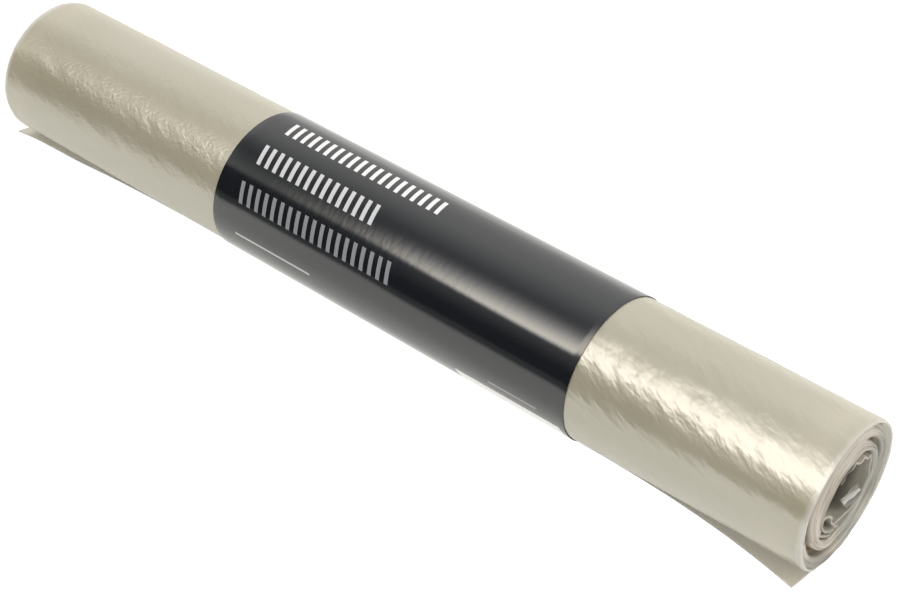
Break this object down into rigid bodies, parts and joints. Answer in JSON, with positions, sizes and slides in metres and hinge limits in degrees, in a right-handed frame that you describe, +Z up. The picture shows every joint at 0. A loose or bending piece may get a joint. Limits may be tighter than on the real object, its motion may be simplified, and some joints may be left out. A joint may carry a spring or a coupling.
{
  "type": "bin bag roll",
  "caption": "Coreless roll of translucent refuse sacks on its side, with a dark printed belly band and a loose tail of film.",
  "frame": {"origin": "on the surface that the roll lies on, under the middle of its length and width", "axes": "+X along the roll towards the end with the overhanging rim, +Z up, the loose tail on the -Y side"},
  "size_m": [0.3652, 0.0544, 0.0512],
  "materials": {
    "sack_film": "satin translucent off-white polyethylene film, finely wrinkled",
    "band_film": "glossy film printed near black, with white and grey bars"
  },
  "bodies": {
    "root": {"bag_roll": "sack_film", "label_band": "band_film"}
  },
  "joints": []
}
